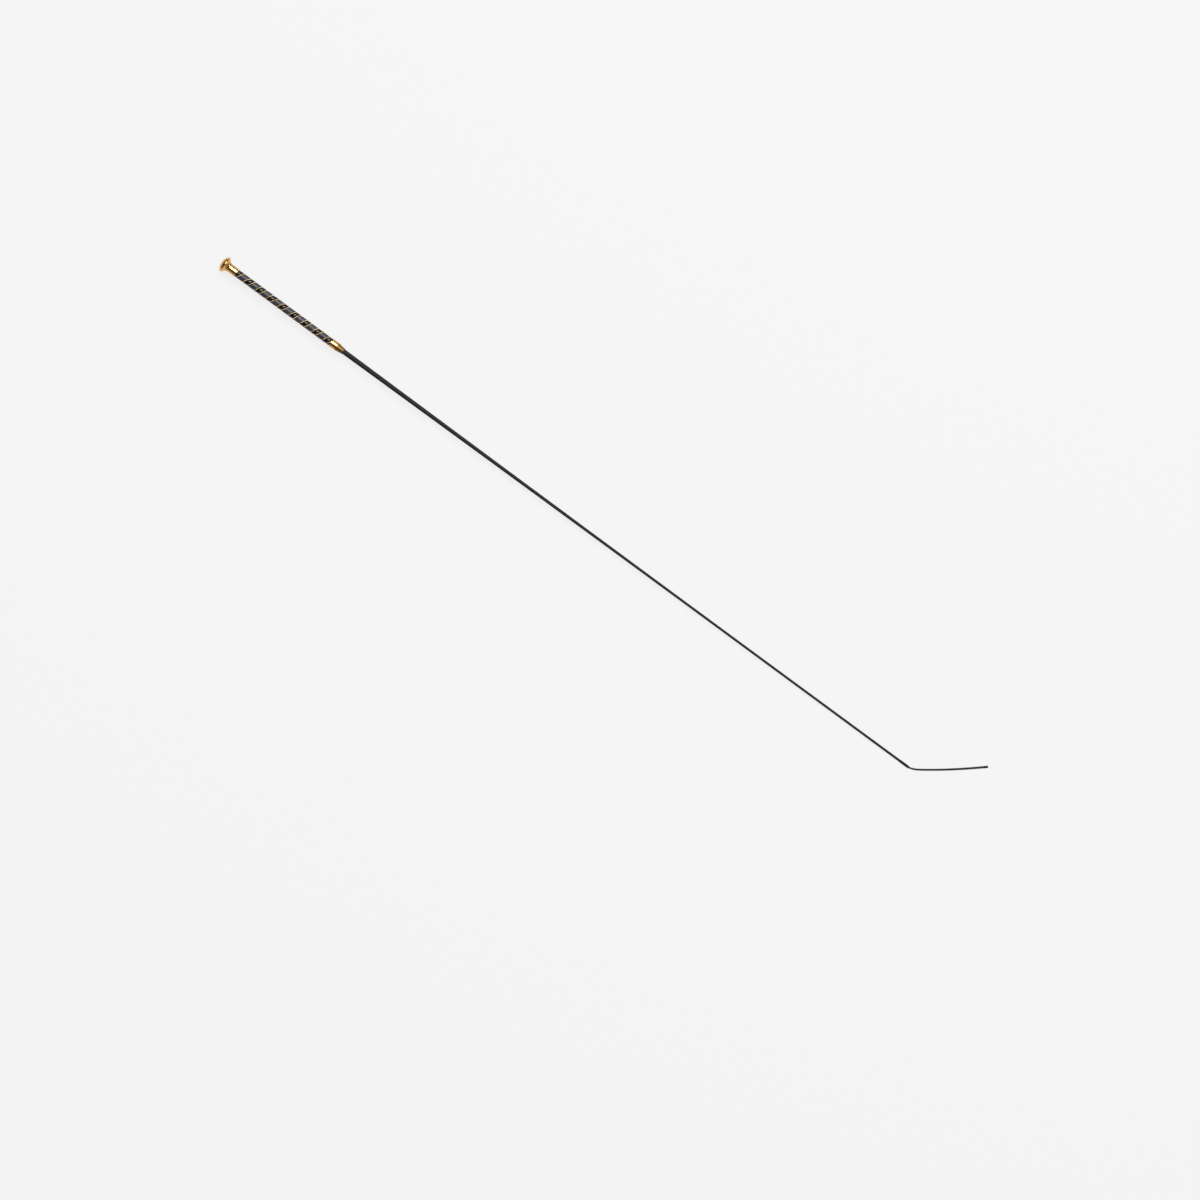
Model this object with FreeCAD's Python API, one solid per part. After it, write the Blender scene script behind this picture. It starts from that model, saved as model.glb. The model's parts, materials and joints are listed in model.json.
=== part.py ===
"""Dressage whip: a braided, tapered stock with a wound grip, a gilt cap and ferrule, and a lash.

The whip is modelled straight, its axis on +X from the cap's top, with every radius taken from that axis.
At the end each piece is turned a little about Y, so that the whip lies on its cap's rim and on its tip.
"""
import FreeCAD, Part
import math
import os

Vector = FreeCAD.Vector

# Driving dimensions, in millimetres and degrees. Stations are distances along the axis.

# Cap
cap_rim_radius = 11.0
cap_rim_width = 3.8
cap_dome_height = 2.6
cap_dome_bulge = 0.5
cap_flat_radius = 4.5
cap_flare_length = 7.2
cap_skirt_length = 10.0
cap_wall = 0.9
cap_edge_radius = 1.2
cap_skirt_wall = 0.35
plate_thickness = 0.8

# Grip
grip_length = 150.5
winding_pitch = 18.0
strip_spacing = 7.6
gold_cord_diameter = 0.95
leather_thickness = 0.85
strip_thickness = 0.9
underlay_thickness = 0.25
sleeve_wall = 0.55
winding_lead = 2.0
winding_tuck = 3.5
binding_length = 3.0
binding_thickness = 0.7
plug_length = 11.0
weight_length = 24.0
screw_head_radius = 2.6
screw_head_height = 1.4
screw_radius = 1.45
screw_grip_length = 8.0

# Ferrule
ferrule_collar_length = 9.0
ferrule_nose_length = 10.4
ferrule_mouth_radius = 3.95
ferrule_wall = 0.35
liner_setback = 2.0
nose_ring_count = 7
nose_step = 0.3
nose_ring_depth = 0.12
nose_lip_length = 1.2

# Stock
stock_length = 902.0
taper_length = 700.0
taper_steps = 28
rod_butt_radius = 2.9
rod_tip_radius = 1.1
jacket_wall = 0.45
tip_bush_length = 17.0
tip_bush_flange = 0.5

# Tip and lash
whipping_length = 12.0
whipping_turns = 24
whipping_thread = 0.2
whipping_setback = 1.0
knot_radius = 1.5
lash_diameter = 2.8
lash_whipping_length = 6.0
lash_whipping_wall = 0.2
bend_share = 0.45

# Clearances
slide_gap = 0.03
wind_gap = 0.03
seat_gap = 0.05

# Route of the lash's centreline from the knot, in the plane of the surface that the whip lies on
lash_route = [(0, 0), (10.8, 5.2), (24.2, 13.9), (39.4, 25.3), (54.2, 37.3), (68.7, 49.5), (82.2, 61.4)]

# Stations along the axis
rim_start = cap_dome_height
rim_end = rim_start + cap_rim_width
neck_start = rim_end + cap_flare_length
skirt_end = neck_start + cap_skirt_length
web_front = rim_end + cap_wall
windings_start = skirt_end - winding_tuck
collar_start = skirt_end + grip_length
collar_end = collar_start + ferrule_collar_length
nose_start = collar_end + seat_gap
nose_end = nose_start + ferrule_nose_length
windings_end = collar_start + winding_tuck
plug_start = web_front + seat_gap
plug_end = plug_start + plug_length
weight_start = plug_end + seat_gap
weight_end = weight_start + weight_length
rod_start = weight_end + seat_gap
rear_binding_start = windings_start - seat_gap - binding_length
front_binding_start = windings_end + seat_gap
liner_start = front_binding_start + binding_length + seat_gap
taper_start = nose_end
stock_end = nose_end + stock_length
rod_end = stock_end - tip_bush_length
tip_face = stock_end + tip_bush_flange
pivot_x = tip_face + knot_radius + slide_gap

# Radii, from the rod outwards
jacket_butt_radius = rod_butt_radius + slide_gap + jacket_wall
jacket_tip_radius = rod_tip_radius + slide_gap + jacket_wall
sleeve_bore = jacket_butt_radius + slide_gap
sleeve_radius = sleeve_bore + sleeve_wall
underlay_radius = sleeve_radius + slide_gap + underlay_thickness
winding_radius = underlay_radius + wind_gap
skirt_bore = winding_radius + gold_cord_diameter + slide_gap
cap_neck_radius = skirt_bore + cap_skirt_wall
ferrule_collar_radius = skirt_bore + ferrule_wall
ferrule_nose_radius = ferrule_collar_radius - nose_step
whipping_radius = jacket_tip_radius + slide_gap + whipping_thread
lash_radius = lash_diameter / 2
plate_seat_radius = cap_rim_radius - 2 * cap_wall

# Placement of the lying whip: the rim and the whipping touch the surface
rim_station = (rim_start + rim_end) / 2
whipping_end = stock_end - whipping_setback
lie_angle = math.atan((cap_rim_radius - whipping_radius) / (whipping_end - rim_station))
lie_height = rim_station * math.sin(lie_angle) + cap_rim_radius * math.cos(lie_angle)


def outline_edges(points):
    """Straight edges from point to point, closed."""
    return [Part.LineSegment(a, b).toShape() for a, b in zip(points, points[1:] + points[:1])]


def turned(points):
    """Solid of revolution about X from a closed outline of (station, radius) corners."""
    corners = [Vector(x, 0, r) for x, r in points]
    return turn_wire(Part.Wire(outline_edges(corners)))


def turn_wire(wire):
    """Solid of revolution about X of a closed wire in the XZ plane."""
    return Part.Face(wire).revolve(Vector(0, 0, 0), Vector(1, 0, 0), 360)


def tube(start, end, inner, outer):
    """Plain tube on the axis; an inner radius of 0 gives a rod."""
    return turned([(start, inner), (end, inner), (end, outer), (start, outer)])


def line(a, b):
    """Edge between two (station, radius) points."""
    return Part.LineSegment(Vector(a[0], 0, a[1]), Vector(b[0], 0, b[1])).toShape()


def arc(a, mid, b):
    """Arc through three (station, radius) points."""
    return Part.Arc(*[Vector(p[0], 0, p[1]) for p in (a, mid, b)]).toShape()


def taper_points(offset):
    """The stock's outline as short cones along a parabola, from the butt's radius to level at the tip's."""
    points = []
    for step in range(taper_steps + 1):
        share = step / taper_steps
        radius = rod_tip_radius + (rod_butt_radius - rod_tip_radius) * (1 - share) ** 2
        points.append((taper_start + taper_length * share, radius + offset))
    return points


def flare_edge(offset):
    """Concave arc from the rim's front edge down to the neck, tangent to the neck."""
    start_radius = cap_rim_radius - cap_edge_radius
    drop = start_radius - cap_neck_radius
    radius = (cap_flare_length ** 2 + drop ** 2) / (2 * drop)
    centre = (neck_start, cap_neck_radius + radius)
    sweep = math.atan2(cap_flare_length, radius - drop)

    def at(angle):
        reach = radius + offset
        return centre[0] - reach * math.sin(angle), centre[1] - reach * math.cos(angle)

    return at(sweep), at(sweep / 2), at(0)


def make_butt_cap():
    """Rim, flare and neck in one turning, with a web for the screw and a bore for the grip."""
    flare_top, flare_mid, flare_foot = flare_edge(0.0)
    rim_edge = cap_edge_radius
    screw_hole = screw_radius + seat_gap
    corner = math.sqrt(0.5) * rim_edge
    pieces = [
        arc((rim_start, cap_rim_radius - rim_edge),
            (rim_start + rim_edge - corner, cap_rim_radius - rim_edge + corner),
            (rim_start + rim_edge, cap_rim_radius)),
        line((rim_start + rim_edge, cap_rim_radius), (rim_end - rim_edge, cap_rim_radius)),
        arc((rim_end - rim_edge, cap_rim_radius),
            (rim_end - rim_edge + corner, cap_rim_radius - rim_edge + corner),
            (rim_end, cap_rim_radius - rim_edge)),
        arc(flare_top, flare_mid, flare_foot),
        line(flare_foot, (skirt_end - slide_gap, cap_neck_radius)),
        line((skirt_end - slide_gap, cap_neck_radius), (skirt_end - slide_gap, skirt_bore)),
        line((skirt_end - slide_gap, skirt_bore), (web_front, skirt_bore)),
        line((web_front, skirt_bore), (web_front, screw_hole)),
        line((web_front, screw_hole), (rim_end, screw_hole)),
        line((rim_end, screw_hole), (rim_end, plate_seat_radius)),
        line((rim_end, plate_seat_radius), (rim_start, plate_seat_radius)),
        line((rim_start, plate_seat_radius), (rim_start, cap_rim_radius - rim_edge)),
    ]
    return turn_wire(Part.Wire(pieces))


def make_cap_top_plate():
    """Low dome with a flat middle and a spigot that presses into the rim."""
    rim = cap_rim_radius - cap_edge_radius
    seat = plate_seat_radius - slide_gap
    depth, width = rim_start - slide_gap, rim - cap_flat_radius
    chord = math.hypot(depth, width)
    crown = (depth / 2 - cap_dome_bulge * width / chord,
             cap_flat_radius + width / 2 + cap_dome_bulge * depth / chord)
    pieces = [
        line((0, 0), (0, cap_flat_radius)),
        arc((0, cap_flat_radius), crown, (depth, rim)),
        line((rim_start - slide_gap, rim), (rim_start - slide_gap, seat)),
        line((rim_start - slide_gap, seat), (rim_start + plate_thickness, seat)),
        line((rim_start + plate_thickness, seat), (rim_start + plate_thickness, seat - plate_thickness)),
        line((rim_start + plate_thickness, seat - plate_thickness), (plate_thickness, cap_flat_radius)),
        line((plate_thickness, cap_flat_radius), (plate_thickness, 0)),
        line((plate_thickness, 0), (0, 0)),
    ]
    return turn_wire(Part.Wire(pieces))


def make_cap_screw():
    """Pan-head screw through the cap's web into the plug, with a crossed slot."""
    head_start = rim_end - seat_gap - screw_head_height
    head = tube(head_start, head_start + screw_head_height, 0, screw_head_radius)
    shank = tube(head_start + screw_head_height, web_front + screw_grip_length, 0, screw_radius)
    slot_width = screw_head_radius / 5
    slot_depth = screw_head_height / 2
    slot = Part.makeBox(slot_depth, slot_width, 3 * screw_radius,
                        Vector(head_start, -slot_width / 2, -1.5 * screw_radius))
    crossed = slot.copy()
    crossed.rotate(Vector(0, 0, 0), Vector(1, 0, 0), 90)
    return head.fuse(shank).cut(slot.fuse(crossed)).removeSplitter()


def make_end_plug():
    """Wooden plug in the sleeve's rear end, drilled for the screw."""
    radius = sleeve_bore - slide_gap
    bore = screw_radius + slide_gap
    bore_end = web_front + screw_grip_length + seat_gap
    return turned([(plug_start, bore), (bore_end, bore), (bore_end, 0), (plug_end, 0),
                   (plug_end, radius), (plug_start, radius)])


def make_core_rod():
    """Glass-fibre rod: parallel in the grip, then tapered, then parallel to the tip."""
    outline = [(rod_start, 0), (rod_start, rod_butt_radius)]
    outline += taper_points(0.0)
    outline += [(rod_end, rod_tip_radius), (rod_end, 0)]
    return turned(outline)


def make_braided_jacket():
    """Braided cover from the rod's butt to the tip bush's flange, one wall thick all along."""
    inner, outer = slide_gap, slide_gap + jacket_wall
    jacket_end = stock_end - slide_gap
    outline = [(rod_start, rod_butt_radius + inner), (rod_start, rod_butt_radius + outer)]
    outline += taper_points(outer)
    outline += [(jacket_end, rod_tip_radius + outer), (jacket_end, rod_tip_radius + inner)]
    outline += reversed(taper_points(inner))
    return turned(outline)


def make_tip_bush():
    """Plug in the jacket's open end, with a flange as wide as the jacket."""
    return turned([(rod_end + slide_gap, 0), (tip_face, 0), (tip_face, jacket_tip_radius),
                   (stock_end, jacket_tip_radius), (stock_end, rod_tip_radius),
                   (rod_end + slide_gap, rod_tip_radius)])


def make_tip_whipping():
    """Thread wound side by side over the jacket's end: one rounded ridge for each turn."""
    start = whipping_end - whipping_length
    pitch = whipping_length / whipping_turns
    foot = jacket_tip_radius + slide_gap
    valley = foot + whipping_thread / 2
    pieces = [line((start, foot), (start, valley))]
    for turn in range(whipping_turns):
        x = start + turn * pitch
        pieces.append(arc((x, valley), (x + pitch / 2, foot + whipping_thread), (x + pitch, valley)))
    pieces.append(line((whipping_end, valley), (whipping_end, foot)))
    pieces.append(line((whipping_end, foot), (start, foot)))
    return turn_wire(Part.Wire(pieces))


def wound(profile, offset):
    """Sweep a section along the grip's left-handed helix, offset along the axis from the rear cord's own."""
    spare = 1.5 * winding_pitch
    length = windings_end - windings_start + 2 * spare
    helix = Part.Wire(Part.makeLongHelix(winding_pitch, length, winding_radius, 0, True).Edges)
    helix.rotate(Vector(0, 0, 0), Vector(0, 1, 0), 90)
    helix.translate(Vector(skirt_end - winding_lead - spare + offset, 0, 0))
    start = helix.OrderedVertexes[0].Point
    spin = math.degrees(math.atan2(start.y, start.z))
    outline = profile.copy()
    outline.rotate(Vector(0, 0, 0), Vector(1, 0, 0), -spin)
    outline.translate(Vector(start.x, 0, 0))
    band = helix.makePipeShell([outline], True, True)
    window = tube(windings_start, windings_end, 0, 2 * winding_radius)
    return band.common(window)


def flat_profile(width, thickness):
    """Band section, its length along the axis and its foot on the underlay."""
    foot = winding_radius
    corners = [Vector(-width / 2, 0, foot), Vector(width / 2, 0, foot),
               Vector(width / 2, 0, foot + thickness), Vector(-width / 2, 0, foot + thickness)]
    return Part.Wire(outline_edges(corners))


def cord_profile():
    """Round cord section in the axial plane, stretched along the axis by the winding's slope."""
    radius = gold_cord_diameter / 2
    centre = winding_radius + radius
    stretch = cord_axial_width() / gold_cord_diameter
    ellipse = Part.Ellipse(Vector(0, 0, centre), radius * stretch, radius)
    ellipse.Axis = Vector(0, 1, 0)
    ellipse.XAxis = Vector(1, 0, 0)
    return Part.Wire([ellipse.toShape()])


def cord_axial_width():
    """Length along the axis that a gold cord takes up."""
    around = 2 * math.pi * (winding_radius + gold_cord_diameter / 2)
    return gold_cord_diameter / math.cos(math.atan(winding_pitch / around))


def make_windings():
    """The two gold cords, the strip between them and the leather band that fills the rest of each turn."""
    cord = cord_axial_width()
    strip = strip_spacing - cord - 2 * wind_gap
    leather = winding_pitch - strip_spacing - cord - 2 * wind_gap
    return {
        "gold_cord_rear": wound(cord_profile(), 0.0),
        "gloss_strip": wound(flat_profile(strip, strip_thickness), strip_spacing / 2),
        "gold_cord_front": wound(cord_profile(), strip_spacing),
        "leather_band": wound(flat_profile(leather, leather_thickness), (strip_spacing + winding_pitch) / 2),
    }


def make_ferrule_collar():
    """Thin polished collar over the windings' front ends."""
    radius = ferrule_collar_radius
    edge = ferrule_wall / 2
    return turned([(collar_start, skirt_bore), (collar_end, skirt_bore),
                   (collar_end, radius - edge), (collar_end - edge, radius),
                   (collar_start + edge, radius), (collar_start, radius - edge)])


def make_ferrule_nose():
    """Tapered shell with fine turned rings and a small rounded lip at its mouth."""
    ringed = ferrule_nose_length - nose_lip_length
    pitch = ringed / nose_ring_count
    slope = (ferrule_nose_radius - ferrule_mouth_radius) / ringed

    def radius_at(x):
        return ferrule_nose_radius - slope * (x - nose_start)

    lip_start = nose_end - nose_lip_length
    bore = jacket_butt_radius + slide_gap
    wide_bore = ferrule_nose_radius - ferrule_wall
    pieces = [line((nose_start, wide_bore), (nose_start, radius_at(nose_start)))]
    for ring in range(nose_ring_count):
        a = nose_start + ring * pitch
        b = a + pitch
        middle = (a + b) / 2
        crest = radius_at(middle) + nose_ring_depth
        pieces.append(arc((a, radius_at(a)), (middle, crest), (b, radius_at(b))))
    mouth = radius_at(lip_start)
    lip_crest = (lip_start + nose_lip_length / 2, mouth + 2 * nose_ring_depth)
    pieces += [
        arc((lip_start, mouth), lip_crest, (nose_end, mouth)),
        line((nose_end, mouth), (nose_end, bore)),
        line((nose_end, bore), (lip_start, bore)),
        line((lip_start, bore), (nose_start, wide_bore)),
    ]
    return turn_wire(Part.Wire(pieces))


def make_ferrule_liner():
    """Plastic liner that fills the collar and the wide part of the nose, around the jacket."""
    bore = jacket_butt_radius + slide_gap
    start = liner_start
    collar_fill = skirt_bore - slide_gap
    nose_fill = ferrule_nose_radius - ferrule_wall - 3 * slide_gap
    lip_start = nose_end - nose_lip_length
    slope = (ferrule_nose_radius - ferrule_wall - bore) / (lip_start - nose_start)
    end = lip_start - liner_setback
    return turned([(start, bore), (end, bore), (end, nose_fill - slope * (end - nose_start)),
                   (nose_start, nose_fill), (nose_start, collar_fill), (start, collar_fill)])


def make_lash_path():
    """Runs and tangent arcs along the lash's route on the surface, with its corner points and radii."""
    pivot = laid_point(pivot_x)
    height = lash_radius + lash_whipping_wall
    corners = [pivot] + [Vector(pivot.x + x, y, height) for x, y in lash_route[1:]]
    edges, radii = [], []
    last = corners[0]
    for a, b, c in zip(corners, corners[1:], corners[2:]):
        before, after = b - a, c - b
        half_turn = before.getAngle(after) / 2
        reach = bend_share * min(before.Length, after.Length)
        radius = reach / math.tan(half_turn)
        enter = b - before.normalize() * reach
        leave = b + after.normalize() * reach
        inward = (leave + enter) * 0.5 - b
        middle = b + inward.normalize() * (radius / math.cos(half_turn) - radius)
        edges.append(Part.LineSegment(last, enter).toShape())
        edges.append(Part.Arc(enter, middle, leave).toShape())
        radii.append(radius)
        last = leave
    edges.append(Part.LineSegment(last, corners[-1]).toShape())
    return Part.Wire(edges), corners, radii


def swept_circle(path, radius):
    """Round tube along a path that starts at the path's first point."""
    start = path.OrderedVertexes[0].Point
    along = path.OrderedEdges[0].tangentAt(path.OrderedEdges[0].FirstParameter)
    ring = Part.Wire([Part.makeCircle(radius, start, along)])
    return path.makePipeShell([ring], True, False)


def make_lash():
    """Lash tube, hollowed at its root to sit round the knot, and stopped short of the end whipping."""
    path, corners, radii = make_lash_path()
    print("lash: bend radii", [round(r, 1) for r in radii], "mm, length", round(path.Length, 1), "mm")
    whole = swept_circle(path, lash_radius)
    tip, before = corners[-1], corners[-2]
    along = (tip - before).normalize()
    root_ball = Part.makeSphere(knot_radius + slide_gap, corners[0])
    whipping_start = tip - along * lash_whipping_length
    outer = Part.makeCylinder(lash_radius + lash_whipping_wall, lash_whipping_length, whipping_start, along)
    inner = Part.makeCylinder(lash_radius + slide_gap, lash_whipping_length, whipping_start, along)
    return whole.cut(root_ball), outer.cut(inner)


def make_plain_pieces():
    """Tubes and rods that only fill the space between their neighbours."""
    rear_binding_end = rear_binding_start + binding_length
    front_binding_end = front_binding_start + binding_length
    binding_radius = winding_radius + binding_thickness
    sleeve_seat = sleeve_radius + slide_gap
    bush_end = rear_binding_start - seat_gap
    return {
        "balance_weight": tube(weight_start, weight_end, 0, rod_butt_radius),
        "grip_sleeve": tube(plug_start, front_binding_end, sleeve_bore, sleeve_radius),
        "grip_underlay": tube(rear_binding_start, front_binding_end, sleeve_seat, underlay_radius),
        "rear_thread_binding": tube(rear_binding_start, rear_binding_end, winding_radius, binding_radius),
        "front_thread_binding": tube(front_binding_start, front_binding_end, winding_radius, binding_radius),
        "cap_bush": tube(web_front + seat_gap, bush_end, sleeve_seat, skirt_bore - slide_gap),
    }


def lay_down(shape):
    """Turn the straight whip so that it lies on its rim and tip, centred over the origin."""
    laid = shape.copy()
    laid.rotate(Vector(0, 0, 0), Vector(0, 1, 0), math.degrees(lie_angle))
    laid.translate(Vector(-tip_face / 2, 0, lie_height))
    return laid


def laid_point(station):
    """Where a point on the whip's axis ends up once the whip lies down."""
    x = station * math.cos(lie_angle) - tip_face / 2
    return Vector(x, 0, lie_height - station * math.sin(lie_angle))


def make_whip():
    """Every piece that is laid down with the stock, by node name."""
    pieces = {
        "butt_cap": make_butt_cap(),
        "cap_top_plate": make_cap_top_plate(),
        "cap_screw": make_cap_screw(),
        "end_plug": make_end_plug(),
        "core_rod": make_core_rod(),
        "braided_jacket": make_braided_jacket(),
        "ferrule_collar": make_ferrule_collar(),
        "ferrule_nose": make_ferrule_nose(),
        "ferrule_liner": make_ferrule_liner(),
        "tip_bush": make_tip_bush(),
        "tip_whipping": make_tip_whipping(),
        "lash_knot": Part.makeSphere(knot_radius, Vector(pivot_x, 0, 0)),
    }
    pieces.update(make_plain_pieces())
    pieces.update(make_windings())
    return pieces


os.makedirs("parts", exist_ok=True)
nodes = {name: lay_down(shape) for name, shape in make_whip().items()}
nodes["lash"], nodes["lash_end_whipping"] = make_lash()
for name, shape in nodes.items():
    assert shape.isValid() and len(shape.Solids) == 1, name
    shape.Solids[0].exportStep(f"parts/{name}.step")
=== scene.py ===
import json
import math

import bmesh
import bpy
import numpy as np
from bpy.props import FloatProperty, FloatVectorProperty, IntProperty, PointerProperty
from mathutils import Matrix, Vector


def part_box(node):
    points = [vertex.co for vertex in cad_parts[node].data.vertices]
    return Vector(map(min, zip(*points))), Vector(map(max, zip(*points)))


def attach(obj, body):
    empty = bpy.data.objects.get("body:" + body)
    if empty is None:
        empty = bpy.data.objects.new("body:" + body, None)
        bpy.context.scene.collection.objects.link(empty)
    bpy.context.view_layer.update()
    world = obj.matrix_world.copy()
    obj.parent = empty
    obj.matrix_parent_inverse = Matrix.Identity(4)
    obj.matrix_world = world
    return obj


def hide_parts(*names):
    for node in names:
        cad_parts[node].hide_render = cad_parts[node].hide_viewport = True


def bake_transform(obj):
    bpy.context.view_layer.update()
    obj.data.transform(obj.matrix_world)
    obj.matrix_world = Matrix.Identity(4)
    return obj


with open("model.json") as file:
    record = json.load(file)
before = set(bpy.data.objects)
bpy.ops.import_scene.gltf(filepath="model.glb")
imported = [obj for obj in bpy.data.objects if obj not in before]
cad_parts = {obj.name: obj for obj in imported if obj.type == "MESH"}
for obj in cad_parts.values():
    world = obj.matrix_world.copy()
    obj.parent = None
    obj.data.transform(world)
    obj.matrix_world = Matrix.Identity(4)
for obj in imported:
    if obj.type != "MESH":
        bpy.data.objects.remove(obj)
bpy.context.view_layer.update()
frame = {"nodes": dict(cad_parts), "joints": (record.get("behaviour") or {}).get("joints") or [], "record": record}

bl_info = {
    "name": "Dressage Whip",
    "version": (1, 0, 0),
    "blender": (4, 5, 0),
    "location": "3D View > Sidebar > Whip",
    "description": "Builds the visible pieces of a dressage whip around its CAD frame",
    "category": "Add Mesh",
}

MM = 0.001
FILM = 0.02 * MM
MERGE = 1e-8
OFF_SEAM = 1e-6
MOUNTS = {mount["name"]: mount for mount in frame["record"]["mounts"]}
AXIS = -Vector(MOUNTS["cap_face"]["axis"]).normalized()
CAP_TOP = Vector(MOUNTS["cap_face"]["pos_m"])
SIDE = Vector((0, 1, 0))
RISE = AXIS.cross(SIDE)
PIVOT = Vector(next(joint["pos_m"] for joint in frame["joints"] if joint["name"] == "lash_swing"))


# The whip's own axis

def radius_of(node):
    """Outer radius of a round CAD node, from the width of its box."""
    low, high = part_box(node)
    return (high[1] - low[1]) / 2


def span(node):
    """First and last station of a round CAD node along the whip's axis."""
    low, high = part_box(node)
    lean = radius_of(node) * abs(AXIS.z)
    first = (low[0] + lean - CAP_TOP.x) / AXIS.x
    last = (high[0] - lean - CAP_TOP.x) / AXIS.x
    return first, last


def place(station, around, out):
    """Row-frame points at stations along the axis, turned about it from straight up, at a distance out."""
    station, around, out = np.broadcast_arrays(station, around, out)
    side = (out * np.sin(around))[..., None] * np.array(SIDE)
    rise = (out * np.cos(around))[..., None] * np.array(RISE)
    return np.array(CAP_TOP) + station[..., None] * np.array(AXIS) + side + rise


# Mesh helpers

def add_piece(name, vertices, faces, loop_uvs=None, attributes=None, sharp=None):
    """Object with a smooth-shaded mesh, its normals outward."""
    mesh = bpy.data.meshes.new(name)
    mesh.from_pydata(vertices.tolist(), [], faces)
    if loop_uvs is not None:
        layer = mesh.uv_layers.new(name="Surface")
        layer.data.foreach_set("uv", loop_uvs.astype(np.float32).ravel())
    for key, values in (attributes or {}).items():
        attribute = mesh.attributes.new(key, "FLOAT", "POINT")
        attribute.data.foreach_set("value", values.astype(np.float32).ravel())
    work = bmesh.new()
    work.from_mesh(mesh)
    bmesh.ops.remove_doubles(work, verts=work.verts, dist=MERGE)
    bmesh.ops.dissolve_degenerate(work, edges=work.edges, dist=MERGE)
    bmesh.ops.recalc_face_normals(work, faces=work.faces)
    work.to_mesh(mesh)
    work.free()
    mesh.shade_smooth()
    if sharp is not None:
        mesh.set_sharp_from_angle(angle=sharp)
    piece = bpy.data.objects.new(name, mesh)
    bpy.context.scene.collection.objects.link(piece)
    return piece


def skin(name, rings, closed_path=False, attributes=None, sharp=None):
    """Surface through closed rings of points, with a fan over each open end.

    Its UV map holds the turn around each ring, from 0 to 1, and the distance along the rings, in metres."""
    count, around, _ = rings.shape
    middle = rings.mean(axis=1)
    along = np.concatenate([[0.0], np.cumsum(np.linalg.norm(np.diff(middle, axis=0), axis=1))])
    steps = count if closed_path else count - 1
    i, j = (grid.ravel() for grid in np.meshgrid(np.arange(steps), np.arange(around), indexing="ij"))
    nexti, nextj = (i + 1) % count, (j + 1) % around
    quads = np.stack([i * around + j, i * around + nextj, nexti * around + nextj, nexti * around + j], axis=1)
    u0, u1 = j / around, (j + 1) / around
    v0, v1 = along[i], along[nexti]
    uvs = np.stack([u0, v0, u1, v0, u1, v1, u0, v1], axis=1)
    faces, loop_uvs = quads.tolist(), [uvs.reshape(-1, 2)]
    points = [rings.reshape(-1, 3)]
    extra = 0
    if not closed_path:
        for ring, centre in ((0, middle[0]), (count - 1, middle[-1])):
            hub = count * around + extra
            extra += 1
            points.append(centre[None])
            for k in range(around):
                faces.append([ring * around + k, ring * around + (k + 1) % around, hub])
            turn, level = np.arange(around) / around, np.full(around, along[ring])
            loop_uvs.append(np.stack([turn, level] * 3, axis=1).reshape(-1, 2))
    values = {}
    for key, grid in (attributes or {}).items():
        values[key] = np.concatenate([grid.ravel(), np.full(extra, grid.mean())])
    return add_piece(name, np.concatenate(points), faces, np.concatenate(loop_uvs), values, sharp)


def turned(name, outline, segments, sharp=None):
    """Closed solid of revolution about the whip's axis of an outline of (station, radius) points."""
    outline = np.array(outline)
    turn = np.linspace(0, 2 * math.pi, segments, endpoint=False)
    rings = place(outline[None, :, 0], turn[:, None], outline[None, :, 1])
    return skin(name, rings, closed_path=True, sharp=sharp)


def rounded(outline, radius, steps=5):
    """Closed outline with each corner replaced by a small arc, where a corner is given a radius above 0."""
    result = []
    count = len(outline)
    for k in range(count):
        corner = np.array(outline[k], float)
        size = radius[k]
        if size <= 0:
            result.append(corner)
            continue
        before = np.array(outline[k - 1], float) - corner
        after = np.array(outline[(k + 1) % count], float) - corner
        start = corner + before / np.linalg.norm(before) * min(size, np.linalg.norm(before) / 2)
        end = corner + after / np.linalg.norm(after) * min(size, np.linalg.norm(after) / 2)
        for t in np.linspace(0, 1, steps):
            result.append((1 - t) ** 2 * start + 2 * t * (1 - t) * corner + t ** 2 * end)
    return result


def tube_along(path, radius, sides):
    """Rings of a round tube along a path of points, in frames carried along without twist."""
    tangents = np.gradient(path, axis=0)
    tangents /= np.linalg.norm(tangents, axis=1)[:, None]
    normal = np.cross(tangents[0], [0, 0, 1.0])
    if np.linalg.norm(normal) < 0.1:
        normal = np.cross(tangents[0], [0, 1.0, 0])
    turn = np.linspace(0, 2 * math.pi, sides, endpoint=False)
    rings = np.empty((len(path), sides, 3))
    radius = np.broadcast_to(radius, len(path))
    for k, tangent in enumerate(tangents):
        normal = normal - tangent * (normal @ tangent)
        normal /= np.linalg.norm(normal)
        binormal = np.cross(tangent, normal)
        outward = np.cos(turn)[:, None] * normal + np.sin(turn)[:, None] * binormal
        rings[k] = path[k] + radius[k] * outward
    return rings


def joined(name, pieces):
    """One object of several meshes."""
    bpy.ops.object.select_all(action="DESELECT")
    for piece in pieces:
        piece.select_set(True)
    bpy.context.view_layer.objects.active = pieces[0]
    bpy.ops.object.join()
    pieces[0].name = name
    pieces[0].data.name = name
    return pieces[0]


def braid_height(a, b):
    """Height, from 0 to 1, of an over-and-under braid where a and b count its two families of strands."""
    roundness, dip = 2.5, 0.45
    across = 2 * (a - np.floor(a)) - 1
    along = 2 * (b - np.floor(b)) - 1
    first_on_top = (np.floor(a) + np.floor(b)) % 2 < 1
    round_over = np.where(first_on_top, across, along)
    arch = np.where(first_on_top, along, across)
    strand = np.clip(1 - np.abs(round_over) ** roundness, 0, 1)
    return strand * (1 - dip * np.abs(arch) ** 3), first_on_top


# Materials

def new_material(name):
    """Material with a Principled shader, and its nodes and links."""
    material = bpy.data.materials.new(name)
    material.use_nodes = True
    nodes, links = material.node_tree.nodes, material.node_tree.links
    return material, nodes, links, nodes["Principled BSDF"]


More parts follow.
